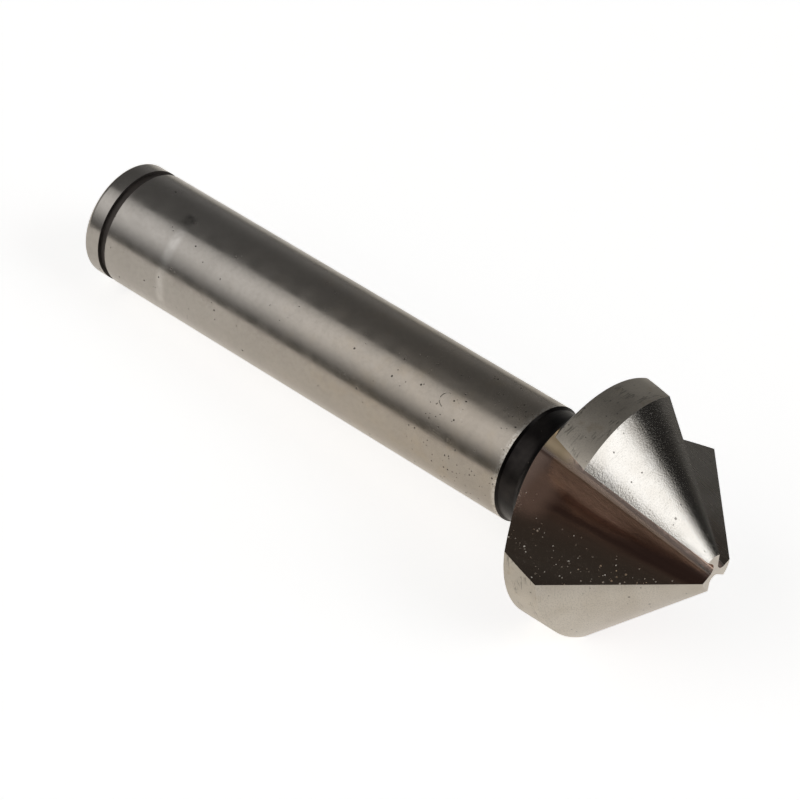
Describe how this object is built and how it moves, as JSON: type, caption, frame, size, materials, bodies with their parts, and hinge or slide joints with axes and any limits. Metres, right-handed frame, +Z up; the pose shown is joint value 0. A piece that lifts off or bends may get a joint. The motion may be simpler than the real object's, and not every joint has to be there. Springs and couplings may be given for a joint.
{
  "type": "countersink bit",
  "caption": "Three-flute 90 degree countersink bit with a relieved conical head, slanted chip flutes, a narrow neck and a plain round shank with a ring groove",
  "frame": {"origin": "Centre of the footprint, on the surface the bit lies on.", "axes": "+X from the shank toward the point, level with the surface, +Z up. The bit rests on two teeth and the back of its shank, so its own axis climbs toward the head."},
  "size_m": [0.0632, 0.0204, 0.0195],
  "materials": {
    "ground_steel": "ground high speed steel"
  },
  "bodies": {
    "root": {"countersink_bit": "ground_steel"}
  },
  "joints": []
}
